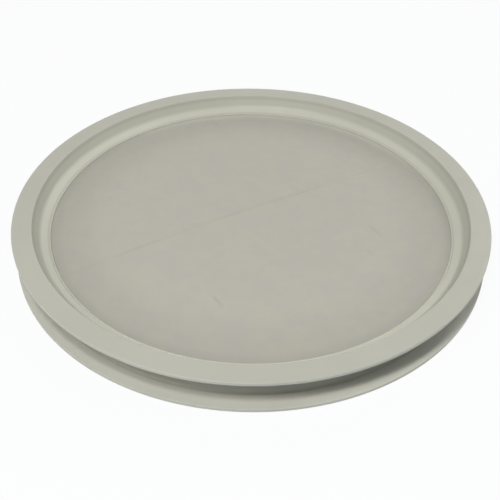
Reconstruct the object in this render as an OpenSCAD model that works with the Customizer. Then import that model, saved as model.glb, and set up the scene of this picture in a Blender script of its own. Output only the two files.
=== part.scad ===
// Round lint filter for a tumble dryer.
// Two thin-walled moulded rings are welded back to back and trap a disc of fine woven cloth
// between them at mid-height. Their two flanges leave a groove all round the outside,
// and each side of the cloth lies at the bottom of a shallow round recess.
// The object stands on the lower flange, with its axis along Z and its origin under its centre.

/* [Overall size] */
// Outside diameter of both flanges
outer_d = 300; // [240:1:360]
// Height over both flanges
frame_h = 23; // [21:0.5:32]

/* [Flanges] */
// Width of a flange's flat face, from its mouth to its outer edge
flange_w = 12.2; // [10:0.1:18]
// Thickness of a flange
flange_t = 2.3; // [1.8:0.1:3.5]
// Rounding of the outer edge on the face side
rim_r = 0.9; // [0.3:0.1:1]
// Rounding of the outer edge on the groove side
rim_under_r = 0.6; // [0.2:0.1:0.8]
// Rounding of the mouth, where the face turns down into the recess
mouth_round = 1; // [0.3:0.1:2]

/* [Recess wall] */
// Thickness of the leaning wall, square to its face
wall_t = 2.3; // [1.6:0.1:3]
// How far the wall leans inwards from the mouth to its foot
wall_run = 3.6; // [2.4:0.1:4.5]
// Hollow rounding between the wall and the ledge
foot_round = 2.8; // [0.5:0.1:4]

/* [Ledge round the cloth] */
// Width of the sloping ledge, from the wall's foot to its low edge
ledge_run = 5.2; // [4:0.1:8]
// How far the ledge falls over that width
ledge_fall = 3.2; // [2:0.1:4]
// Height of the ledge's low edge above the middle of the cloth
toe_h = 0.9; // [0.75:0.05:1.4]
// Width of the bead that edges the ledge and grips the cloth
bead_w = 1.1; // [0.8:0.1:1.4]

/* [Outer groove] */
// Depth of the waist behind the wall's foot, where the two rings meet
waist_t = 2.3; // [2:0.1:3]
// Hollow rounding between a flange and the wall
groove_round = 1.5; // [0.5:0.1:2.5]
// Hollow rounding where the leaning wall meets the upright waist
waist_round = 5; // [1:0.5:8]

/* [Weld seam] */
// Width of the tongue under the upper ring
tongue_w = 1.2; // [0.8:0.1:1.5]
// Height of the tongue
tongue_h = 1.2; // [0.8:0.1:1.8]
// Clearance of the tongue in its groove, on each side and at its tip
tongue_gap = 0.1; // [0.05:0.05:0.25]

/* [Filter cloth] */
// Thickness of the woven cloth
cloth_t = 0.3; // [0.2:0.05:0.5]
// How far the cloth's edge stays inside the wall's foot
cloth_inset = 1; // [0.6:0.1:2]
// Clearance round the cloth's edge
cloth_gap = 0.4; // [0.2:0.1:0.6]

/* [Folds in the cloth] */
// Width of a pressed-in fold
fold_w = 2.4; // [1.5:0.1:4]
// How far a fold stands up
fold_h = 0.35; // [0.1:0.05:0.6]
// Direction from the axis to the long fold's middle
long_fold_azimuth = 119.5; // [0:0.5:360]
// Distance of the long fold's middle from the axis
long_fold_offset = 7; // [0:0.5:30]
// Distance that the long fold's ends keep from the bead
long_fold_margin = 15; // [12:1:60]
// Radius that the long fold bends along
long_fold_bend = 1250; // [600:10:3000]
// Direction from the axis to the short fold's middle
short_fold_azimuth = 104; // [0:1:360]
// Distance of the short fold's middle from the bead
short_fold_margin = 12; // [12:0.5:40]
// Length of the short fold
short_fold = 20; // [8:1:22]
// Radius that the short fold bends along
short_fold_bend = 200; // [60:10:600]
// Turn of the short fold about its middle, from square to its azimuth
short_fold_turn = -69; // [-90:1:90]

/* [Hidden] */

// Facets of a full turn, and of a rounding in the section
turn_fn = 240;
arc_fn = 48;

plastic = [0.73, 0.725, 0.68];
cloth_grey = [0.70, 0.69, 0.65];

// Heights are measured from the middle of the cloth, where the two rings meet
half_h = frame_h / 2;
under_z = half_h - flange_t;
foot_z = toe_h + ledge_fall;
wall_drop = half_h - foot_z;
grip_z = cloth_t / 2;
bead_z = grip_z + bead_w / 2;

// Radii, from the rim inwards
outer_r = outer_d / 2;
mouth_r = outer_r - flange_w;
foot_r = mouth_r - wall_run;
toe_r = foot_r - ledge_run;
open_r = toe_r - bead_w;

// Back of the wall, which runs parallel to its face
wall_lean = wall_run / wall_drop;
wall_back = wall_t / cos(atan(wall_lean));
under_r = mouth_r + wall_back - flange_t * wall_lean;
waist_r = foot_r + waist_t;
waist_z = under_z - (under_r - waist_r) / wall_lean;

// Cloth and seam
cloth_r = foot_r - cloth_inset;
pocket_r = cloth_r + cloth_gap;
tongue_r = (pocket_r + waist_r) / 2;
long_fold = 2 * (open_r - long_fold_margin);

// Small overlap that keeps joined shapes from only touching
overlap = 0.05;

// Corners of one ring's section, from the cloth's grip round the back to the bead
grip_inner = [open_r, grip_z];
grip_outer = [pocket_r, grip_z];
seam_inner = [pocket_r, 0];
seam_outer = [waist_r, 0];
waist_top = [waist_r, waist_z];
flange_root = [under_r, under_z];
rim_under = [outer_r, under_z];
rim_top = [outer_r, half_h];
mouth = [mouth_r, half_h];
wall_foot = [foot_r, foot_z];
ledge_toe = [toe_r, toe_h];
bead_outer = [toe_r, bead_z];
bead_inner = [open_r, bead_z];

function unit(v) = v / norm(v);
function half_angle(corner, before, after) = acos(unit(before - corner) * unit(after - corner)) / 2;
function bisector(corner, before, after) = unit(unit(before - corner) + unit(after - corner));
function arc_centre(corner, before, after, r) =
    corner + bisector(corner, before, after) * r / sin(half_angle(corner, before, after));

// The two points where an arc of radius r leaves the edges that meet at a corner
function arc_ends(corner, before, after, r) =
    let (reach = r / tan(half_angle(corner, before, after)))
    [corner + unit(before - corner) * reach, corner + unit(after - corner) * reach];

// Circle that leaves a hollow rounding when it is cut from a section that skips the corner
module hollow_cut(corner, before, after, r) {
    translate(arc_centre(corner, before, after, r)) circle(r = r, $fn = arc_fn);
}

// Area between a sharp corner and the arc that rounds it
module edge_cut(corner, before, after, r) {
    ends = arc_ends(corner, before, after, r);
    difference() {
        polygon([ends[0], corner - bisector(corner, before, after) * overlap, ends[1]]);
        translate(arc_centre(corner, before, after, r)) circle(r = r, $fn = arc_fn);
    }
}

// Section that the two rings share, standing on the plane where they meet
module ring_section() {
    difference() {
        union() {
            polygon(concat(
                [grip_inner, grip_outer, seam_inner, seam_outer],
                arc_ends(waist_top, seam_outer, flange_root, waist_round),
                arc_ends(flange_root, waist_top, rim_under, groove_round),
                [rim_under, rim_top, mouth],
                arc_ends(wall_foot, mouth, ledge_toe, foot_round),
                [ledge_toe, bead_outer, bead_inner]
            ));
            translate([open_r + bead_w / 2, bead_z]) circle(d = bead_w, $fn = arc_fn);
        }
        hollow_cut(waist_top, seam_outer, flange_root, waist_round);
        hollow_cut(flange_root, waist_top, rim_under, groove_round);
        hollow_cut(wall_foot, mouth, ledge_toe, foot_round);
        edge_cut(rim_under, flange_root, rim_top, rim_under_r);
        edge_cut(rim_top, rim_under, mouth, rim_r);
        edge_cut(mouth, rim_top, wall_foot, mouth_round);
    }
}

// Section of the tongue, grown on every side for the groove that takes it
module tongue_section(grow) {
    width = tongue_w + 2 * grow;
    translate([tongue_r - width / 2, -tongue_h - grow]) square([width, tongue_h + grow + overlap]);
}

module turned() {
    translate([0, 0, half_h]) rotate_extrude($fn = turn_fn) children();
}

module upper_ring() {
    color(plastic) turned() union() {
        ring_section();
        tongue_section(0);
    }
}

module lower_ring() {
    color(plastic) turned() difference() {
        mirror([0, 1]) ring_section();
        tongue_section(tongue_gap);
    }
}

// Prism of a fold along an arc, whose middle lies at a distance from the axis
module fold(azimuth, distance, turn, length, bend, base_z) {
    sweep = length / bend * 180 / PI;
    translate([0, 0, half_h + base_z]) rotate(azimuth) translate([distance, 0, 0]) rotate(turn)
        translate([-bend, 0, 0]) rotate(-sweep / 2)
            rotate_extrude(angle = sweep, $fn = turn_fn * 4)
                translate([bend, 0])
                    polygon([
                        [-fold_w / 2, -overlap],
                        [fold_w / 2, -overlap],
                        [fold_w / 2, 0],
                        [0, fold_h],
                        [-fold_w / 2, 0]
                    ]);
}

// Both folds, as ridges on the cloth, or a little shorter as the hollows under them
module folds(base_z, shorter) {
    fold(long_fold_azimuth, long_fold_offset, 0, long_fold - shorter, long_fold_bend, base_z);
    fold(
        short_fold_azimuth, open_r - short_fold_margin, short_fold_turn,
        short_fold - shorter, short_fold_bend, base_z
    );
}

module filter_mesh() {
    color(cloth_grey) difference() {
        union() {
            translate([0, 0, half_h - cloth_t / 2]) cylinder(r = cloth_r, h = cloth_t, $fn = turn_fn);
            folds(cloth_t / 2, 0);
        }
        folds(-cloth_t / 2, fold_w);
    }
}

upper_ring();
lower_ring();
filter_mesh();
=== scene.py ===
"""Looks of a round dryer lint filter: two moulded half rings and the woven cloth between them."""
import logging
import math
from dataclasses import dataclass, field
from enum import Enum

import bmesh
import bpy
from mathutils import Matrix, Vector, noise


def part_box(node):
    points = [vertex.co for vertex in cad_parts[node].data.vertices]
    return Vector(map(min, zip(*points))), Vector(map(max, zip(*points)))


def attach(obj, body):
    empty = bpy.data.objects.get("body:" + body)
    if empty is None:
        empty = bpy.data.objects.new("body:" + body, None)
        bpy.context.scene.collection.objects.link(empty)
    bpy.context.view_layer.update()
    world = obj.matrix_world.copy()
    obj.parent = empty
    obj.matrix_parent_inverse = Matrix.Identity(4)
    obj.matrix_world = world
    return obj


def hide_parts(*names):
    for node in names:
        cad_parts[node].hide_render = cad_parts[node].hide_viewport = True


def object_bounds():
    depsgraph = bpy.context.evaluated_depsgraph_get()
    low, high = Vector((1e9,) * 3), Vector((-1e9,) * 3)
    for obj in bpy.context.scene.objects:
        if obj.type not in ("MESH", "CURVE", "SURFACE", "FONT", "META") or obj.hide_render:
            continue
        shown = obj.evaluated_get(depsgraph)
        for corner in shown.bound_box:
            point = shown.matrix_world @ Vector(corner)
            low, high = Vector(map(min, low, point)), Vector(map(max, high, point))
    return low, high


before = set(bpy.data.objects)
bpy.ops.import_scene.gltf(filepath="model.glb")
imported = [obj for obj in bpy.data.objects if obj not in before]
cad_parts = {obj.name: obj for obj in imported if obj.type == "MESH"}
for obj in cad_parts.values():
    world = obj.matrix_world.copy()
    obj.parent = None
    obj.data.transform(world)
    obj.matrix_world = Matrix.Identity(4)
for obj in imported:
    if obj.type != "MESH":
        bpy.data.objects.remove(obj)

CAD_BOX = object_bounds()
MM = 0.001
SHARP_ANGLE = math.radians(50.0)
WHITE = (1.0, 1.0, 1.0, 1.0)
PLAN = (1.0, 1.0, 0.0)
MIX_FACTOR, MIX_FIRST, MIX_SECOND, MIX_RESULT = 0, 6, 7, 2
LOG = logging.getLogger("lint_filter")

Colour = tuple[float, float, float]
Socket = bpy.types.NodeSocket


class Side(Enum):
    """Which half of the frame a ring is."""

    UPPER = 1
    LOWER = -1


@dataclass(frozen=True)
class FrameSizes:
    """Sizes of the moulded frame in metres, with heights measured from the middle of the cloth."""

    outer_radius: float
    height: float
    flange_width: float = 12.2 * MM
    flange_thickness: float = 2.3 * MM
    wall_thickness: float = 2.3 * MM
    wall_run: float = 3.6 * MM
    ledge_run: float = 5.2 * MM
    ledge_fall: float = 3.2 * MM
    toe_height: float = 0.9 * MM
    bead_width: float = 1.1 * MM
    waist_thickness: float = 2.3 * MM
    tongue_width: float = 1.2 * MM
    tongue_height: float = 1.2 * MM
    tongue_gap: float = 0.1 * MM
    cloth_thickness: float = 0.3 * MM
    cloth_inset: float = 1.0 * MM
    cloth_gap: float = 0.4 * MM

    @property
    def half_height(self) -> float:
        """Height of a flange's face over the cloth's middle."""
        return self.height / 2

    @property
    def mouth_radius(self) -> float:
        """Radius at which the flange's face turns down into the recess."""
        return self.outer_radius - self.flange_width

    @property
    def foot_radius(self) -> float:
        """Radius of the leaning wall's foot."""
        return self.mouth_radius - self.wall_run

    @property
    def foot_height(self) -> float:
        """Height of the leaning wall's foot."""
        return self.toe_height + self.ledge_fall

    @property
    def toe_radius(self) -> float:
        """Radius of the ledge's low edge."""
        return self.foot_radius - self.ledge_run

    @property
    def open_radius(self) -> float:
        """Radius of the cloth that shows."""
        return self.toe_radius - self.bead_width

    @property
    def cloth_radius(self) -> float:
        """Radius that the cloth is cut to."""
        return self.foot_radius - self.cloth_inset

    @property
    def wall_lean(self) -> float:
        """How far the wall moves inwards for each unit of depth."""
        return self.wall_run / (self.half_height - self.foot_height)


@dataclass(frozen=True)
class Corner:
    """A corner of a ring's section, with the radius of its rounding, or none."""

    radius: float
    height: float
    rounding: float = 0.0

    @property
    def point(self) -> Vector:
        """The corner as a point in the section's plane."""
        return Vector((self.radius, self.height))


def plan_direction(azimuth: float) -> Vector:
    """Direction in plan of an azimuth in degrees."""
    angle = math.radians(azimuth)
    return Vector((math.cos(angle), math.sin(angle)))


def link(mesh: bmesh.types.BMesh, name: str) -> bpy.types.Object:
    """Turns a finished bmesh into an object at the origin, smooth apart from its sharp corners.

    Args:
        mesh: The bmesh, which is freed.
        name: Name of the object and its mesh.

    Returns:
        The new object, linked to the scene.
    """
    bmesh.ops.recalc_face_normals(mesh, faces=mesh.faces)
    for face in mesh.faces:
        face.smooth = True
    for edge in mesh.edges:
        edge.smooth = edge.calc_face_angle(0.0) < SHARP_ANGLE
    data = bpy.data.meshes.new(name)
    mesh.to_mesh(data)
    mesh.free()
    piece = bpy.data.objects.new(name, data)
    bpy.context.scene.collection.objects.link(piece)
    return piece


def group_socket(group: bpy.types.NodeTree, name: str, kind: str, way: str) -> None:
    """Adds a socket to a shader node group.

    Args:
        group: The node group.
        name: Name of the socket.
        kind: Socket type without its prefix, such as Float.
        way: INPUT or OUTPUT.
    """
    group.interface.new_socket(name=name, in_out=way, socket_type=f"NodeSocket{kind}")


@dataclass
class Shader:
    """A node tree with short calls for the nodes that the finishes use."""

    tree: bpy.types.NodeTree

    def add(self, kind: str, **settings: object) -> bpy.types.Node:
        """Adds a node.

        Args:
            kind: Node type without its ShaderNode prefix.
            **settings: Properties set on the node.

        Returns:
            The new node.
        """
        node = self.tree.nodes.new(kind if kind.startswith("NodeGroup") else f"ShaderNode{kind}")
        for name, value in settings.items():
            setattr(node, name, value)
        return node

    def put(self, node: bpy.types.Node, socket: object, value: object) -> None:
        """Links or sets one input of a node.

        Args:
            node: The node.
            socket: Name or index of its input.
            value: An output socket to link, or a plain value.
        """
        if isinstance(value, Socket):
            self.tree.links.new(value, node.inputs[socket])
        else:
            node.inputs[socket].default_value = value

    def math(self, operation: str, *values: object) -> Socket:
        """Adds a Math node.

        Args:
            operation: Blender's name of the operation.
            *values: Its inputs, as sockets or numbers.

        Returns:
            The result's socket.
        """
        node = self.add("Math", operation=operation)
        for index, value in enumerate(values):
            self.put(node, index, value)
        return node.outputs[0]

    def times(self, first: object, second: object) -> Socket:
        """Multiplies two values."""
        return self.math("MULTIPLY", first, second)

    def opposite(self, mask: Socket) -> Socket:
        """Turns a mask round, so that 0 becomes 1."""
        return self.math("SUBTRACT", 1.0, mask)

    def wave(self, value: object, angle: float) -> Socket:
        """Cosine of a value times an angle."""
        return self.math("COSINE", self.times(value, angle))

    def ramp(
        self, value: object, low: object, high: object, to_low: float = 0.0, to_high: float = 1.0
    ) -> Socket:
        """Maps a value smoothly from one range to another.

        Args:
            value: The value's socket.
            low: Value that gives to_low.
            high: Value that gives to_high.
            to_low: Result at and below low.
            to_high: Result at and above high.

        Returns:
            The result's socket.
        """
        node = self.add("MapRange", interpolation_type="SMOOTHSTEP")
        for index, item in enumerate((value, low, high, to_low, to_high)):
            self.put(node, index, item)
        return node.outputs[0]

    def mix(self, factor: object, first: object, second: object, blend: str = "MIX") -> Socket:
        """Mixes two colours.

        Args:
            factor: Share of the second one.
            first: First colour.
            second: Second colour.
            blend: Blender's name of the blending.

        Returns:
            The result's socket.
        """
        node = self.add("Mix", data_type="RGBA", blend_type=blend)
        self.put(node, MIX_FACTOR, factor)
        self.put(node, MIX_FIRST, first)
        self.put(node, MIX_SECOND, second)
        return node.outputs[MIX_RESULT]

    def noise(self, vector: object, scale: object, detail: float = 2.0) -> Socket:
        """Adds a noise texture.

        Args:
            vector: Place that it is read at.
            scale: Features in a metre, as a socket or a number.
            detail: Octaves.

        Returns:
            The factor's socket.
        """
        node = self.add("TexNoise")
        self.put(node, "Vector", vector)
        self.put(node, "Scale", scale)
        self.put(node, "Detail", detail)
        return node.outputs["Fac"]

    def bump(
        self, height: Socket, distance: float, strength: float = 1.0, normal: Socket | None = None
    ) -> Socket:
        """Adds a bump.

        Args:
            height: Height from 0 to 1.
            distance: Depth of a height of 1.
            strength: How much of it shows.
            normal: The normal that it is laid over, if it isn't the surface's own.

        Returns:
            The normal's socket.
        """
        node = self.add("Bump")
        self.put(node, "Height", height)
        self.put(node, "Distance", distance)
        self.put(node, "Strength", strength)
        if normal is not None:
            self.put(node, "Normal", normal)
        return node.outputs["Normal"]

    def flat(self, place: Socket) -> Socket:
        """Leaves out the height of a place.

        Args:
            place: Its coordinates.

        Returns:
            The socket of its coordinates in plan.
        """
        node = self.add("VectorMath", operation="MULTIPLY")
        self.put(node, 0, place)
        self.put(node, 1, PLAN)
        return node.outputs[0]

    def radius(self, place: Socket) -> Socket:
        """Distance of a place from the Z axis.

        Args:
            place: Its coordinates.

        Returns:
            The distance's socket.
        """
        length = self.add("VectorMath", operation="LENGTH")
        self.put(length, 0, self.flat(place))
        return length.outputs["Value"]

    def towards(self, place: Socket, azimuth: float) -> Socket:
        """How far a place lies from the Z axis towards one side.

        Args:
            place: Its coordinates.
            azimuth: Direction of that side in degrees.

        Returns:
            The distance's socket.
        """
        side = self.add("VectorMath", operation="DOT_PRODUCT")
        self.put(side, 0, place)
        self.put(side, 1, (*plan_direction(azimuth), 0.0))
        return side.outputs["Value"]

    def direct(self) -> Socket:
        """Mask of what the camera sees, also in reflections and through clear material.

        Returns:
            The mask's socket.
        """
        path = self.add("LightPath")
        seen = self.math("MAXIMUM", path.outputs["Is Camera Ray"], path.outputs["Is Glossy Ray"])
        return self.math("MAXIMUM", seen, path.outputs["Is Transmission Ray"])

    def use(self, group: bpy.types.NodeTree, **values: object) -> bpy.types.Node:
        """Places a node group.

        Args:
            group: The group.
            **values: Its inputs by name, with underscores for spaces.

        Returns:
            The group's node.
        """
        node = self.add("Group")
        node.node_tree = group
        for name, value in values.items():
            self.put(node, name.replace("_", " "), value)
        return node


def start_group(name: str) -> tuple[bpy.types.NodeTree, Shader, bpy.types.Node, bpy.types.Node]:
    """Starts a shader node group with its Vector input.

    Args:
        name: Name of the group.

    Returns:
        The group, its shader helper, its input node and its output node.
    """
    group = bpy.data.node_groups.new(name, "ShaderNodeTree")
    group_socket(group, "Vector", "Vector", "INPUT")
    nodes = Shader(group)
    return group, nodes, nodes.add("NodeGroupInput"), nodes.add("NodeGroupOutput")


@dataclass
class Effects:
    """Shader effects that the finishes share, each built once as a node group."""

    stain_low: float = 0.38
    stain_high: float = 0.64
    stain_detail: float = 4.0
    crossing_lift: float = 0.35
    gap_edge: float = -0.2
    gap_floor: float = -0.8
    crease_edge: float = 0.5
    crease_full: float = 0.2
    grain: bpy.types.NodeTree = field(init=False)
    soiling: bpy.types.NodeTree = field(init=False)
    weave: bpy.types.NodeTree = field(init=False)
    crease: bpy.types.NodeTree = field(init=False)

    def __post_init__(self) -> None:
        """Builds every group."""
        self.grain = self.build_grain()
        self.soiling = self.build_soiling()
        self.weave = self.build_weave()
        self.crease = self.build_crease()

    def build_grain(self) -> bpy.types.NodeTree:
        """Fine moulding grain over slow flow marks, as a height from 0 to 1.

        Returns:
            The node group.
        """
        group, nodes, source, result = start_group("moulding_grain")
        group_socket(group, "Fine Scale", "Float", "INPUT")
        group_socket(group, "Slow Scale", "Float", "INPUT")
        group_socket(group, "Height", "Float", "OUTPUT")
        fine = nodes.noise(source.outputs["Vector"], source.outputs["Fine Scale"])
        slow = nodes.noise(source.outputs["Vector"], source.outputs["Slow Scale"])
        nodes.put(result, "Height", nodes.times(nodes.math("ADD", fine, slow), 0.5))
        return group

    def build_soiling(self) -> bpy.types.NodeTree:
        """Uneven soft staining, as a mask from 0 to 1.

        Returns:
            The node group.
        """
        group, nodes, source, result = start_group("soft_soiling")
        group_socket(group, "Scale", "Float", "INPUT")
        group_socket(group, "Mask", "Float", "OUTPUT")
        cloud = nodes.noise(source.outputs["Vector"], source.outputs["Scale"], self.stain_detail)
        nodes.put(result, "Mask", nodes.ramp(cloud, self.stain_low, self.stain_high))
        return group

    def build_weave(self) -> bpy.types.NodeTree:
        """Plain weave of one thread a unit, as a height and a mask of the gaps between threads.

        Returns:
            The node group.
        """
        group, nodes, source, result = start_group("plain_weave")
        group_socket(group, "Height", "Float", "OUTPUT")
        group_socket(group, "Gap", "Float", "OUTPUT")
        axes = nodes.add("SeparateXYZ")
        nodes.put(axes, 0, source.outputs["Vector"])
        warp, weft = (nodes.wave(axes.outputs[index], math.tau) for index in (0, 1))
        over = nodes.times(*(nodes.wave(axes.outputs[index], math.pi) for index in (0, 1)))
        warp_top = nodes.math("MULTIPLY_ADD", over, self.crossing_lift, warp)
        weft_top = nodes.math("MULTIPLY_ADD", over, -self.crossing_lift, weft)
        top = nodes.math("MAXIMUM", warp_top, weft_top)
        nodes.put(result, "Height", nodes.ramp(top, -1.0, 1.0 + self.crossing_lift))
        nodes.put(result, "Gap", nodes.ramp(top, self.gap_edge, self.gap_floor))
        return group

    def build_crease(self) -> bpy.types.NodeTree:
        """Pressed crease along X of its own space, as a height that is 0 at its ends and sides.

        Returns:
            The node group.
        """
        group, nodes, source, result = start_group("pressed_crease")
        group_socket(group, "Centre", "Vector", "INPUT")
        for name in ("Heading", "Length", "Width", "Bend"):
            group_socket(group, name, "Float", "INPUT")
        group_socket(group, "Height", "Float", "OUTPUT")
        shift = nodes.add("VectorMath", operation="SUBTRACT")
        nodes.put(shift, 0, source.outputs["Vector"])
        nodes.put(shift, 1, source.outputs["Centre"])
        turn = nodes.add("VectorRotate", rotation_type="Z_AXIS")
        nodes.put(turn, "Vector", shift.outputs[0])
        nodes.put(turn, "Angle", nodes.times(source.outputs["Heading"], -1.0))
        axes = nodes.add("SeparateXYZ")
        nodes.put(axes, 0, turn.outputs[0])
        bow = nodes.times(nodes.math("POWER", axes.outputs[0], 2.0), source.outputs["Bend"])
        aside = nodes.math("ABSOLUTE", nodes.math("ADD", axes.outputs[1], bow))
        far = nodes.math("ABSOLUTE", axes.outputs[0])
        along = nodes.math("DIVIDE", far, source.outputs["Length"])
        across = nodes.math("DIVIDE", aside, source.outputs["Width"])
        ends = nodes.ramp(along, self.crease_edge, self.crease_full)
        sides = nodes.ramp(across, self.crease_edge, 0.0)
        nodes.put(result, "Height", nodes.times(ends, sides))
        return group


def new_material(name: str) -> tuple[bpy.types.Material, Shader, bpy.types.Node, Socket]:
    """Starts a material with a Principled shader.

    Args:
        name: Name of the material.

    Returns:
        The material, its shader helper, the Principled node and the Object coordinates.
    """
    material = bpy.data.materials.new(name)
    material.use_nodes = True
    nodes = Shader(material.node_tree)
    principled = material.node_tree.nodes["Principled BSDF"]
    return material, nodes, principled, nodes.add("TexCoord").outputs["Object"]


@dataclass(frozen=True)
class MouldedPlastic:
    """Satin warm grey plastic with a fine moulding grain, soft stains, and painted shade in its
    mouth and valley.

    A tone is a share added to the colour, and a tint multiplies it. The valley is the hollow
    behind the bead. All tones and tints are painted light and shade, and the front side has its
    own: more painted light on the ledge, painted shade on the bead and none in the valley.
    """

    effects: Effects
    sizes: FrameSizes
    colour: Colour = (0.538, 0.533, 0.448)
    soiled: Colour = (0.514, 0.507, 0.424)
    stain_scale: float = 26.0
    stain_share: float = 0.6
    gloss_scale: float = 90.0
    gloss_detail: float = 3.0
    gloss_low: float = 0.3
    gloss_high: float = 0.7
    least_roughness: float = 0.48
    most_roughness: float = 0.57
    refraction: float = 1.49
    grain_fine: float = 2500.0
    grain_slow: float = 60.0
    grain_depth: float = 0.02 * MM
    grain_strength: float = 0.35
    tone_edge: float = 0.6 * MM
    # Painted shade on the flange's face.
    face_painted_shade: float = -0.10
    # Painted light on the ledge.
    ledge_painted_light: float = 0.08
    # Painted highlight on the bead.
    bead_painted_light_and_shade: float = 0.09
    # Painted shade in the valley behind the bead, wider on one side.
    valley_painted_shade: float = -0.20
    valley_width: float = 0.8 * MM
    valley_spread: float = 1.7 * MM
    spread_azimuth: float = 120.0
    spread_reach: float = 0.3
    # The front side gets more painted light on its ledge and painted shade on its bead.
    front_ledge_painted_light: float = 0.05
    front_bead_painted_shade: float = -0.31
    front_azimuth: float = 277.0
    front_from: float = 0.45
    front_full: float = 0.75
    # Painted shade on the wall just under the mouth.
    mouth_painted_shade: float = -0.13
    mouth_reach: float = 3.6 * MM
    # Painted cool light in the shaded groove.
    groove_painted_light: Colour = (1.11, 1.11, 1.15)
    groove_from: float = 2.4 * MM
    groove_full: float = 3.6 * MM
    # Painted light on the flange's outer rim.
    rim_painted_light: Colour = (1.15, 1.15, 1.14)
    rim_from: float = 0.3 * MM
    rim_full: float = 0.1 * MM

    def valley(self, nodes: Shader, place: Socket, radius: Socket) -> Socket:
        """Works out where painted shade lies behind the bead, which is wider on one side.

        Args:
            nodes: Shader helper of the material.
            place: Object coordinates.
            radius: Distance of the place from the axis.

        Returns:
            The mask's socket.
        """
        toe = self.sizes.toe_radius
        side = nodes.towards(place, self.spread_azimuth)
        reach = self.spread_reach * toe
        width = nodes.ramp(side, -reach, reach, self.valley_width, self.valley_spread)
        aside = nodes.math("ABSOLUTE", nodes.math("SUBTRACT", radius, toe))
        return nodes.ramp(aside, width, 0.0)

    def tint(self, nodes: Shader, place: Socket) -> Socket:
        """Works out the painted light and shade on each part of the section, as a duller, paler or
        cooler colour.

        Args:
            nodes: Shader helper of the material.
            place: Object coordinates.

        Returns:
            The socket of a colour near white.
        """
        s, edge = self.sizes, self.tone_edge
        axes = nodes.add("SeparateXYZ")
        nodes.put(axes, 0, place)
        height = nodes.math("ABSOLUTE", nodes.math("SUBTRACT", axes.outputs[2], s.half_height))
        radius = nodes.radius(place)
        # Mask of the flange's face, which gets painted shade.
        face = nodes.ramp(height, s.half_height - 2 * edge, s.half_height - edge)
        below = nodes.opposite(face)
        outside = nodes.ramp(
            radius, s.mouth_radius + self.groove_from, s.mouth_radius + self.groove_full
        )
        # Mask of the front side, which has its own painted light and shade.
        side = nodes.towards(place, self.front_azimuth)
        front_side = nodes.ramp(side, self.front_from * s.toe_radius, self.front_full * s.toe_radius)
        ledge = nodes.ramp(radius, s.foot_radius, s.foot_radius - 2 * edge)
        # Painted light on the ledge, stronger on the front side.
        ledge_painted_light = nodes.math("MULTIPLY_ADD", front_side, self.front_ledge_painted_light, self.ledge_painted_light)
        bead = nodes.ramp(radius, s.toe_radius, s.toe_radius - self.valley_width / 2)
        # Painted highlight on the bead, which turns to painted shade on the front side.
        lift = self.bead_painted_light_and_shade - self.ledge_painted_light
        bead_painted_light_and_shade = nodes.math("MULTIPLY_ADD", nodes.times(front_side, front_side), self.front_bead_painted_shade, lift)
        # Painted shade in the valley, left out on the front side.
        valley = nodes.times(self.valley(nodes, place, radius), nodes.opposite(front_side))
        # Painted shade on the wall just under the mouth, not on the face or in the groove.
        mouth = nodes.ramp(height, s.half_height - self.mouth_reach, s.half_height - 2 * edge)
        mouth = nodes.times(nodes.times(mouth, below), nodes.opposite(outside))
        tone: object = 1.0
        for mask, amount in (
            (face, self.face_painted_shade),
            (ledge, ledge_painted_light),
            (bead, bead_painted_light_and_shade),
            (valley, self.valley_painted_shade),
            (mouth, self.mouth_painted_shade),
        ):
            tone = nodes.math("MULTIPLY_ADD", mask, amount, tone)
        # Painted cool light in the groove, below the face and outside the mouth.
        tint = nodes.mix(nodes.times(outside, below), WHITE, (*self.groove_painted_light, 1.0))
        # Painted light on the outer rim.
        rim = nodes.ramp(radius, s.outer_radius - self.rim_from, s.outer_radius - self.rim_full)
        return nodes.mix(rim, nodes.mix(1.0, tint, tone, "MULTIPLY"), (*self.rim_painted_light, 1.0))

    def material(self) -> bpy.types.Material:
        """Builds the material.

        Returns:
            The finished material.
        """
        material, nodes, principled, place = new_material("moulded_plastic")
        stain = nodes.use(self.effects.soiling, Vector=place, Scale=self.stain_scale)
        share = nodes.times(stain.outputs["Mask"], self.stain_share)
        colour = nodes.mix(share, (*self.colour, 1.0), (*self.soiled, 1.0))
        tint = self.tint(nodes, place)
        nodes.put(principled, "Base Color", nodes.mix(1.0, colour, tint, "MULTIPLY"))
        gloss = nodes.noise(place, self.gloss_scale, self.gloss_detail)
        rough = nodes.ramp(
            gloss, self.gloss_low, self.gloss_high, self.least_roughness, self.most_roughness
        )
        nodes.put(principled, "Roughness", rough)
        nodes.put(principled, "IOR", self.refraction)
        grain = nodes.use(
            self.effects.grain, Vector=place, Fine_Scale=self.grain_fine, Slow_Scale=self.grain_slow
        )
        normal = nodes.bump(grain.outputs["Height"], self.grain_depth, self.grain_strength)
        nodes.put(principled, "Normal", normal)
        return material


@dataclass(frozen=True)
class Mark:
    """A crease in the cloth, placed in plan, with its heading in degrees and half its curvature."""

    x: float
    y: float
    length: float
    heading: float
    width: float = 3.0 * MM
    bend: float = 0.0
    depth: float = 1.0


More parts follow.
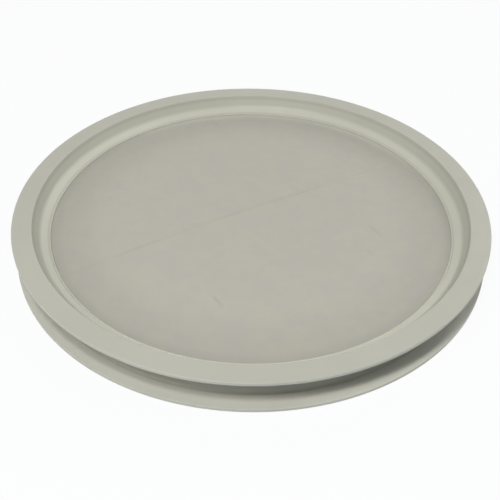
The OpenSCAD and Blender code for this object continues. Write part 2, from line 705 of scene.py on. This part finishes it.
@dataclass(frozen=True)
class WovenCloth:
    """Fine pale filter cloth, woven square to its long fold, with small creases, soft stains, and
    painted light and shade in its weave, creases, folds and edge.
    """

    effects: Effects
    heading: float
    open_radius: float
    folds: tuple[Mark, ...]
    warm: Colour = (0.491, 0.467, 0.394)
    cool: Colour = (0.480, 0.463, 0.402)
    stain_scale: float = 55.0
    mottle_scale: float = 160.0
    mottle_detail: float = 4.0
    mottle_shade: float = 0.07
    roughness: float = 0.75
    sheen: float = 0.05
    sheen_roughness: float = 0.5
    pitch: float = 0.42 * MM
    thread_depth: float = 0.05 * MM
    thread_strength: float = 0.4
    # Painted shade in the gaps between threads.
    gap_painted_shade: float = 0.10
    mark_depth: float = 0.12 * MM
    # Painted shade along each crease.
    crease_painted_shade: float = 0.09
    # Painted shade along the near foot of each fold, uneven in patches.
    fold_painted_shade: float = 0.11
    patch_scale: float = 28.0
    patch_detail: float = 1.0
    patch_low: float = 0.40
    patch_high: float = 0.58
    patch_least: float = 0.45
    # Painted shade towards the cloth's rim, a little stronger on one side.
    rim_painted_shade: float = 0.14
    rim_width: float = 42.0 * MM
    rim_drift: float = 0.022
    drift_azimuth: float = 330.0
    # Painted shade along the last few millimetres of the edge, and painted light there on one side.
    edge_painted_shade: float = 0.08
    edge_shade_width: float = 8.0 * MM
    edge_painted_light: float = 0.19
    lit_edge_azimuth: float = 78.0
    lit_edge_from: float = 0.30
    marks: tuple[Mark, ...] = (
        Mark(-18.6 * MM, -81.3 * MM, 14 * MM, -55),
        Mark(78.9 * MM, -15.4 * MM, 15 * MM, -57),
        Mark(73.4 * MM, -37.2 * MM, 10 * MM, -62, depth=0.6),
        Mark(26.9 * MM, 33.0 * MM, 15 * MM, -72, depth=0.4),
        Mark(-89.3 * MM, 29.4 * MM, 12 * MM, -47, depth=0.4),
        Mark(-94.0 * MM, 14.4 * MM, 10 * MM, -58, depth=0.4),
    )

    def creases(self, nodes: Shader, place: Socket, marks: tuple[Mark, ...]) -> Socket:
        """Adds creases.

        Args:
            nodes: Shader helper of the material.
            place: Object coordinates in plan.
            marks: Where they are.

        Returns:
            The socket of their joint height.
        """
        total: object = 0.0
        for mark in marks:
            node = nodes.use(
                self.effects.crease,
                Vector=place,
                Centre=(mark.x, mark.y, 0.0),
                Heading=math.radians(mark.heading),
                Length=mark.length,
                Width=mark.width,
                Bend=mark.bend,
            )
            height = nodes.times(node.outputs["Height"], mark.depth)
            total = nodes.math("MAXIMUM", height, total)
        return total

    def edge(self, nodes: Shader, place: Socket, radius: Socket) -> Socket:
        """Works out how the cloth's tone changes along its edge.

        A broad painted shade, a little stronger on one side, lies along all of it. Painted shade
        darkens its last few millimetres, except on one side, where painted light brightens them.

        Args:
            nodes: Shader helper of the material.
            place: Object coordinates.
            radius: Distance of the place from the axis.

        Returns:
            The socket of a change of tone near 0.
        """
        reach = self.open_radius
        # Painted shade towards the rim, a little stronger on one side.
        drift = nodes.towards(place, self.drift_azimuth)
        shade = nodes.math("MULTIPLY_ADD", drift, self.rim_drift / reach, -self.rim_painted_shade)
        # Painted shade along the edge's last millimetres, with painted light on one side.
        side = nodes.towards(place, self.lit_edge_azimuth)
        painted_edge = nodes.ramp(side, self.lit_edge_from * reach, reach, -self.edge_painted_shade, self.edge_painted_light)
        painted_edge = nodes.times(painted_edge, nodes.ramp(radius, reach - self.edge_shade_width, reach))
        return nodes.math(
            "MULTIPLY_ADD", nodes.ramp(radius, reach - self.rim_width, reach), shade, painted_edge
        )

    def material(self) -> bpy.types.Material:
        """Builds the material.

        Returns:
            The finished material.
        """
        material, nodes, principled, place = new_material("woven_cloth")
        flat = nodes.flat(place)
        threads = nodes.add("Mapping", vector_type="TEXTURE")
        nodes.put(threads, "Vector", flat)
        nodes.put(threads, "Rotation", (0.0, 0.0, math.radians(self.heading)))
        nodes.put(threads, "Scale", (self.pitch, self.pitch, 1.0))
        # Plain weave, whose gaps get painted shade.
        weave = nodes.use(self.effects.weave, Vector=threads.outputs[0])
        cloud = nodes.use(self.effects.soiling, Vector=flat, Scale=self.stain_scale)
        colour = nodes.mix(cloud.outputs["Mask"], (*self.warm, 1.0), (*self.cool, 1.0))
        # Creases, which get painted shade and a bump.
        creases = self.creases(nodes, flat, self.marks)
        uneven = nodes.noise(flat, self.patch_scale, self.patch_detail)
        patches = nodes.ramp(uneven, self.patch_low, self.patch_high, self.patch_least, 1.0)
        # Painted shade along the folds' near feet.
        folds = nodes.times(self.creases(nodes, flat, self.folds), patches)
        mottle = nodes.noise(flat, self.mottle_scale, self.mottle_detail)
        tone: object = 1.0 - self.mottle_shade / 2
        for mask, amount in (
            (mottle, self.mottle_shade),
            (weave.outputs["Gap"], -self.gap_painted_shade),
            (creases, -self.crease_painted_shade),
            (folds, -self.fold_painted_shade),
        ):
            tone = nodes.math("MULTIPLY_ADD", mask, amount, tone)
        tone = nodes.math("ADD", self.edge(nodes, place, nodes.radius(place)), tone)
        nodes.put(principled, "Base Color", nodes.mix(1.0, colour, tone, "MULTIPLY"))
        nodes.put(principled, "Roughness", self.roughness)
        nodes.put(principled, "Sheen Weight", self.sheen)
        nodes.put(principled, "Sheen Roughness", self.sheen_roughness)
        fine = nodes.bump(weave.outputs["Height"], self.thread_depth, self.thread_strength)
        nodes.put(principled, "Normal", nodes.bump(creases, self.mark_depth, normal=fine))
        return material


@dataclass
class HalfRing:
    """One moulded half of the frame, turned from its section."""

    sizes: FrameSizes
    side: Side
    steps: int = 384
    least_facets: int = 2
    most_facets: int = 8
    facets_at_one: float = 4.0
    same_place: float = 0.005 * MM
    rim_rounding: float = 0.5 * MM
    rim_under_rounding: float = 0.3 * MM
    mouth_rounding: float = 0.6 * MM
    foot_rounding: float = 5.0 * MM
    groove_rounding: float = 1.5 * MM
    waist_rounding: float = 5.0 * MM
    seam_rounding: float = 0.15 * MM
    bead_rounding: float = 0.72 * MM
    bead_back_rounding: float = 0.33 * MM

    @property
    def name(self) -> str:
        """Name of the piece."""
        return f"{self.side.name.lower()}_ring_turned"

    def back_corners(self) -> list[Corner]:
        """Corners of the groove side, from the seam to the flange's edge.

        Returns:
            The corners in order.
        """
        s = self.sizes
        under = s.half_height - s.flange_thickness
        back = s.wall_thickness * math.hypot(1.0, s.wall_lean)
        root = s.mouth_radius + back - s.flange_thickness * s.wall_lean
        waist = s.foot_radius + s.waist_thickness
        waist_height = under - (root - waist) / s.wall_lean
        return [
            Corner(waist, 0.0, self.seam_rounding),
            Corner(waist, waist_height, self.waist_rounding),
            Corner(root, under, self.groove_rounding),
            Corner(s.outer_radius, under, self.rim_under_rounding),
            Corner(s.outer_radius, s.half_height, self.rim_rounding),
        ]

    def seam_corners(self) -> list[Corner]:
        """Corners of the cloth's pocket and of the seam's tongue or groove.

        Returns:
            The corners in order.
        """
        s = self.sizes
        grip = s.cloth_thickness / 2
        pocket = s.cloth_radius + s.cloth_gap
        middle = (pocket + s.foot_radius + s.waist_thickness) / 2
        upper = self.side is Side.UPPER
        grow = 0.0 if upper else s.tongue_gap
        tip = -s.tongue_height if upper else s.tongue_height + grow
        reach = s.tongue_width / 2 + grow
        return [
            Corner(s.open_radius, grip),
            Corner(pocket, grip),
            Corner(pocket, 0.0),
            Corner(middle - reach, 0.0),
            Corner(middle - reach, tip),
            Corner(middle + reach, tip),
            Corner(middle + reach, 0.0),
        ]

    def face_corners(self) -> list[Corner]:
        """Corners of the recess side, from the mouth to the bead.

        Returns:
            The corners in order.
        """
        s = self.sizes
        bead_top = s.cloth_thickness / 2 + s.bead_width
        return [
            Corner(s.mouth_radius, s.half_height, self.mouth_rounding),
            Corner(s.foot_radius, s.foot_height, self.foot_rounding),
            Corner(s.toe_radius, s.toe_height),
            Corner(s.toe_radius, bead_top, self.bead_back_rounding),
            Corner(s.open_radius, bead_top, self.bead_rounding),
        ]

    def bevels(self, corners: list[Corner]) -> list[tuple[Corner, float]]:
        """Works out how far each rounding reaches along its faces.

        Args:
            corners: The section's corners in order.

        Returns:
            Each rounded corner with its bevel offset.
        """
        found = []
        for index, corner in enumerate(corners):
            if corner.rounding:
                before = corners[index - 1].point - corner.point
                after = corners[(index + 1) % len(corners)].point - corner.point
                found.append((corner, corner.rounding / math.tan(before.angle(after) / 2)))
        return found

    def build(self) -> bpy.types.Object:
        """Turns the section and rounds its edges.

        Returns:
            The ring's object.
        """
        corners = self.seam_corners() + self.back_corners() + self.face_corners()
        mesh = bmesh.new()
        points = [mesh.verts.new((c.radius, 0.0, c.height)) for c in corners]
        outline = [mesh.edges.new(pair) for pair in zip(points, points[1:] + points[:1])]
        bmesh.ops.spin(
            mesh, geom=points + outline, axis=(0, 0, 1), cent=(0, 0, 0), dvec=(0, 0, 0),
            angle=math.tau, steps=self.steps, use_merge=True, use_duplicate=False,
        )
        for corner, offset in self.bevels(corners):
            ring = [
                edge for edge in mesh.edges if all(self.on_corner(v.co, corner) for v in edge.verts)
            ]
            bmesh.ops.bevel(
                mesh, geom=ring, offset=offset, offset_type="OFFSET", affect="EDGES",
                segments=self.segments(corner.rounding), profile=0.5, material=-1,
                clamp_overlap=False,
            )
        bmesh.ops.scale(mesh, vec=(1.0, 1.0, float(self.side.value)), verts=mesh.verts)
        bmesh.ops.translate(mesh, vec=(0.0, 0.0, self.sizes.half_height), verts=mesh.verts)
        piece = link(mesh, self.name)
        weighted = piece.modifiers.new("weighted_normals", "WEIGHTED_NORMAL")
        weighted.keep_sharp = True
        return piece

    def on_corner(self, point: Vector, corner: Corner) -> bool:
        """Tells whether a point lies on a corner's circle."""
        aside = abs(math.hypot(point.x, point.y) - corner.radius)
        return aside < self.same_place and abs(point.z - corner.height) < self.same_place

    def segments(self, rounding: float) -> int:
        """Number of facets that keep a rounding smooth."""
        facets = round(self.facets_at_one * math.sqrt(rounding / MM))
        return max(self.least_facets, min(self.most_facets, facets))

    def dress(self, piece: bpy.types.Object, material: bpy.types.Material) -> None:
        """Gives the ring its finish and puts it in place of its solid.

        Args:
            piece: The ring's object.
            material: Its finish.
        """
        piece.data.materials.append(material)
        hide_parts(f"{self.side.name.lower()}_ring")
        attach(piece, "root")


@dataclass
class FilterCloth:
    """The stretched cloth, with its two pressed folds and a slight slackness."""

    sizes: FrameSizes
    long_azimuth: float = 119.5
    long_offset: float = 7.0 * MM
    long_margin: float = 15.0 * MM
    long_bend: float = 1250.0 * MM
    short_azimuth: float = 104.0
    short_margin: float = 12.0 * MM
    short_length: float = 20.0 * MM
    short_bend: float = 200.0 * MM
    short_turn: float = -69.0
    fold_width: float = 2.4 * MM
    fold_height: float = 0.35 * MM
    fold_taper: float = 3.0
    fold_patch: float = 24.0 * MM
    fold_patch_seed: float = 1.3
    fold_mean: float = 0.75
    fold_least: float = 0.35
    # Width, shift and length of the painted shade along a fold's near foot.
    fold_foot_shade_width: float = 3.2 * MM
    fold_foot_shade_shift: float = 26.0 * MM
    fold_foot_shade_length: float = 236.0 * MM
    slack: float = 0.25 * MM
    slack_length: float = 42.0 * MM
    slack_seed: float = 4.7
    taut_width: float = 30.0 * MM
    columns: int = 170
    rows: int = 170
    grid_margin: float = 1.04
    crowding: float = 0.24
    halvings: int = 40

    @property
    def heading(self) -> float:
        """Direction of the long fold in degrees, along which the threads run too."""
        return self.long_azimuth - 90.0

    @property
    def short_middle(self) -> Vector:
        """Middle of the short fold in plan."""
        return plan_direction(self.short_azimuth) * (self.sizes.open_radius - self.short_margin)

    def fold_marks(self) -> tuple[Mark, ...]:
        """Works out where the painted shade along the near foot of each fold lies.

        Returns:
            The long fold's mark and the short fold's.
        """
        swing = math.degrees(self.fold_foot_shade_shift / self.long_bend)
        centre = plan_direction(self.long_azimuth) * (self.long_offset - self.long_bend)
        foot = self.long_bend - self.fold_width / 2.0
        middle = centre + plan_direction(self.long_azimuth + swing) * foot
        heading = self.short_azimuth + self.short_turn + 90.0
        width = self.fold_foot_shade_width
        return (
            Mark(*middle, self.fold_foot_shade_length, self.heading + swing, width, 0.5 / self.long_bend),
            Mark(*self.short_middle, self.short_length, heading, width, 0.5 / self.short_bend),
        )

    def crowded(self, share: float, centre: float, half: float) -> float:
        """Spreads grid lines so that they crowd round one place.

        Args:
            share: Place on an even grid, from -1 to 1.
            centre: Where the lines crowd.
            half: Half the width that the grid covers.

        Returns:
            The line's place.
        """
        low, high = -half - centre, half - centre
        reach = max(-low, high)
        ends = [self.unspread(value / reach) for value in (low, high)]
        even = ends[0] + (share + 1.0) / 2.0 * (ends[1] - ends[0])
        return centre + reach * (self.crowding * even + (1.0 - self.crowding) * even**3)

    def unspread(self, value: float) -> float:
        """Finds an even place from its spread place, by halving.

        Args:
            value: The spread place, from -1 to 1.

        Returns:
            The even place.
        """
        low, high = -1.0, 1.0
        for _ in range(self.halvings):
            middle = (low + high) / 2.0
            if self.crowding * middle + (1.0 - self.crowding) * middle**3 < value:
                low = middle
            else:
                high = middle
        return (low + high) / 2.0

    def ridge(self, along: float, across: float, length: float) -> float:
        """Height of a fold at a place in its own frame.

        Args:
            along: Distance from its middle along it.
            across: Distance from its crest.
            length: The fold's length.

        Returns:
            The height over the cloth.
        """
        side = max(0.0, 1.0 - abs(across) / (self.fold_width / 2.0))
        end = (length / 2.0 - abs(along)) / (self.fold_taper * self.fold_width)
        end = min(1.0, max(0.0, end))
        spot = Vector((along / self.fold_patch, length / self.fold_patch, self.fold_patch_seed))
        uneven = min(1.0, max(self.fold_least, self.fold_mean + noise.noise(spot)))
        return self.fold_height * uneven * side * end * (2.0 - end)

    def height(self, plan: Vector, along: float, across: float) -> float:
        """Height of the cloth's middle over the plane it is stretched in.

        Args:
            plan: Place in plan.
            along: Distance along the long fold from its middle.
            across: Distance from the long fold's crest.

        Returns:
            The height.
        """
        s = self.sizes
        loose = min(1.0, max(0.0, (s.open_radius - plan.length) / self.taut_width))
        spot = Vector((plan.x / self.slack_length, plan.y / self.slack_length, self.slack_seed))
        lift = self.slack * noise.noise(spot) * loose * loose * (3.0 - 2.0 * loose)
        lift += self.ridge(along, across, 2.0 * (s.open_radius - self.long_margin))
        turn = math.radians(self.short_azimuth + self.short_turn)
        local = Matrix.Rotation(-turn, 2) @ (plan - self.short_middle)
        bow = local.y**2 / (2.0 * self.short_bend)
        return lift + self.ridge(local.y, local.x + bow, self.short_length)

    def build(self) -> bpy.types.Object:
        """Shapes the cloth from a grid whose lines follow and crowd round the folds.

        Returns:
            The cloth's object.
        """
        s = self.sizes
        turn = Matrix.Rotation(math.radians(self.heading), 2)
        short = turn.inverted() @ self.short_middle
        half = s.cloth_radius * self.grid_margin
        mesh = bmesh.new()
        bmesh.ops.create_grid(mesh, x_segments=self.columns, y_segments=self.rows, size=1.0)
        for vert in mesh.verts:
            along = self.crowded(vert.co.x, short.x, half)
            across = self.crowded(vert.co.y, 0.0, half + self.long_offset)
            crest = self.long_offset + math.sqrt(self.long_bend**2 - along**2) - self.long_bend
            plan = turn @ Vector((along, crest + across))
            vert.co = (plan.x, plan.y, self.height(plan, along, across))
        outside = [f for f in mesh.faces if any(v.co.xy.length > s.cloth_radius for v in f.verts)]
        bmesh.ops.delete(mesh, geom=outside, context="FACES")
        for vert in mesh.verts:
            if vert.is_boundary:
                rim = vert.co.xy.normalized() * s.cloth_radius
                vert.co = (rim.x, rim.y, 0.0)
        bmesh.ops.translate(mesh, vec=(0.0, 0.0, -s.cloth_thickness / 2), verts=mesh.verts)
        bmesh.ops.recalc_face_normals(mesh, faces=mesh.faces)
        if mesh.faces[0].normal.z > 0:
            bmesh.ops.reverse_faces(mesh, faces=mesh.faces)
        bmesh.ops.solidify(mesh, geom=mesh.faces[:], thickness=s.cloth_thickness)
        bmesh.ops.translate(mesh, vec=(0.0, 0.0, s.half_height), verts=mesh.verts)
        return link(mesh, "woven_filter_cloth")

    def dress(self, piece: bpy.types.Object, material: bpy.types.Material) -> None:
        """Args:
            piece: The cloth's object.
            material: Its finish.
        """
        piece.data.materials.append(material)
        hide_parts("filter_mesh")
        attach(piece, "root")


@dataclass(frozen=True)
class SoftLight:
    """A round soft light that points at the filter from a direction in degrees."""

    name: str
    azimuth: float
    elevation: float
    power: float
    distance: float = 1.3
    size: float = 0.45

    def place(self, target: Vector) -> None:
        """Adds the light to the scene.

        Args:
            target: The point that it is aimed at.
        """
        a, e = math.radians(self.azimuth), math.radians(self.elevation)
        towards = Vector((math.cos(a) * math.cos(e), math.sin(a) * math.cos(e), math.sin(e)))
        data = bpy.data.lights.new(self.name, "AREA")
        data.shape = "DISK"
        data.size = self.size
        data.energy = self.power
        light = bpy.data.objects.new(self.name, data)
        light.location = target + towards * self.distance
        light.rotation_mode = "QUATERNION"
        light.rotation_quaternion = towards.to_track_quat("Z", "Y")
        bpy.context.scene.collection.objects.link(light)


def turn_pair(first: Vector, second: Vector, degrees: float) -> tuple[Vector, Vector]:
    """Turns two square directions in their own plane, the second towards the first.

    Args:
        first: One direction.
        second: The other.
        degrees: The angle.

    Returns:
        Both, turned.
    """
    cosine, sine = math.cos(math.radians(degrees)), math.sin(math.radians(degrees))
    return first * cosine - second * sine, first * sine + second * cosine


@dataclass
class Studio:
    """Camera, floor and soft lights round the filter."""

    target: Vector
    camera_distance: float = 474.75 * MM
    camera_elevation: float = 36.42
    pan: float = -0.071
    tilt: float = -3.861
    roll: float = -0.746
    focal_pixels: float = 737.0
    frame_pixels: float = 500.0
    sensor: float = 36.0
    clip_start: float = 10.0 * MM
    floor_size: float = 30.0
    floor_gap: float = 0.02 * MM
    floor_colour: Colour = (0.76, 0.80, 0.87)
    floor_glow: float = 0.93
    sky: float = 0.10
    sky_colour: Colour = (0.90, 0.98, 1.12)
    lights: tuple[SoftLight, ...] = (
        SoftLight("high_front", 255.0, 65.0, 4.9, size=0.2),
        SoftLight("front_left", 240.0, 55.0, 3.3, size=0.2),
        SoftLight("left", 225.0, 45.0, 3.3),
        SoftLight("high_right", 0.0, 65.0, 1.2, size=0.2),
        SoftLight("right", 0.0, 45.0, 1.6),
        SoftLight("low_back_right", 45.0, 25.0, 2.7),
        SoftLight("back", 90.0, 45.0, 1.4),
    )

    def place_camera(self) -> None:
        """Aims the camera at the centre of the upper face, then pans, tilts and rolls it."""
        e = math.radians(self.camera_elevation)
        back = Vector((0.0, -math.cos(e), math.sin(e)))
        ahead, right = -back, Vector((1.0, 0.0, 0.0))
        up = right.cross(ahead)
        right, ahead = turn_pair(right, ahead, self.pan)
        up, ahead = turn_pair(up, ahead, self.tilt)
        right, up = turn_pair(right, up, self.roll)
        data = bpy.data.cameras.new("camera")
        data.sensor_width = self.sensor
        data.lens = self.focal_pixels / self.frame_pixels * self.sensor
        data.clip_start = self.clip_start
        camera = bpy.data.objects.new("camera", data)
        turned = Matrix((right, up, -ahead)).transposed().to_4x4()
        camera.matrix_world = Matrix.Translation(self.target + back * self.camera_distance) @ turned
        bpy.context.scene.collection.objects.link(camera)
        bpy.context.scene.camera = camera

    def lay_floor(self) -> None:
        """Lays a pale floor that shows white to the camera and keeps a faint shadow."""
        mesh = bmesh.new()
        bmesh.ops.create_grid(mesh, x_segments=1, y_segments=1, size=self.floor_size / 2)
        bmesh.ops.translate(mesh, vec=(0.0, 0.0, -self.floor_gap), verts=mesh.verts)
        floor = link(mesh, "floor")
        material = bpy.data.materials.new("white_floor")
        material.use_nodes = True
        nodes = Shader(material.node_tree)
        material.node_tree.nodes.remove(material.node_tree.nodes["Principled BSDF"])
        paper = nodes.add("BsdfDiffuse")
        glow = nodes.add("Emission")
        seen = nodes.add("MixShader")
        nodes.put(paper, "Color", (*self.floor_colour, 1.0))
        nodes.put(glow, "Color", WHITE)
        nodes.put(seen, 0, nodes.times(nodes.direct(), self.floor_glow))
        nodes.put(seen, 1, paper.outputs[0])
        nodes.put(seen, 2, glow.outputs[0])
        nodes.put(material.node_tree.nodes["Material Output"], "Surface", seen.outputs[0])
        floor.data.materials.append(material)

    def hang_sky(self) -> None:
        """Adds the even sky, which shows white to the camera and in reflections."""
        world = bpy.data.worlds.new("sky")
        world.use_nodes = True
        nodes = Shader(world.node_tree)
        background = world.node_tree.nodes["Background"]
        direct = nodes.direct()
        strength = nodes.math("MULTIPLY_ADD", direct, 1.0 - self.sky, self.sky)
        nodes.put(background, "Color", nodes.mix(direct, (*self.sky_colour, 1.0), WHITE))
        nodes.put(background, "Strength", strength)
        bpy.context.scene.world = world

    def set_up(self) -> None:
        """Places everything that isn't part of the filter."""
        self.place_camera()
        self.lay_floor()
        self.hang_sky()
        for light in self.lights:
            light.place(self.target)
        bpy.context.scene.view_settings.view_transform = "Standard"


def report(piece: bpy.types.Object) -> None:
    """Reports a finished piece."""
    LOG.info("%s: %d faces", piece.name, len(piece.data.polygons))


def main() -> None:
    """Builds the filter and its studio, and reports each piece."""
    logging.basicConfig(level=logging.INFO, format="%(name)s: %(message)s")
    low, high = CAD_BOX
    sizes = FrameSizes(outer_radius=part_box("upper_ring")[1].x, height=high.z - low.z)
    Studio(target=Vector((0.0, 0.0, sizes.height))).set_up()
    effects = Effects()
    plastic = MouldedPlastic(effects, sizes).material()
    for side in Side:
        ring = HalfRing(sizes, side)
        piece = ring.build()
        ring.dress(piece, plastic)
        report(piece)
    cloth = FilterCloth(sizes)
    finish = WovenCloth(effects, cloth.heading, sizes.open_radius, cloth.fold_marks())
    piece = cloth.build()
    cloth.dress(piece, finish.material())
    report(piece)


if __name__ == "__main__":
    main()
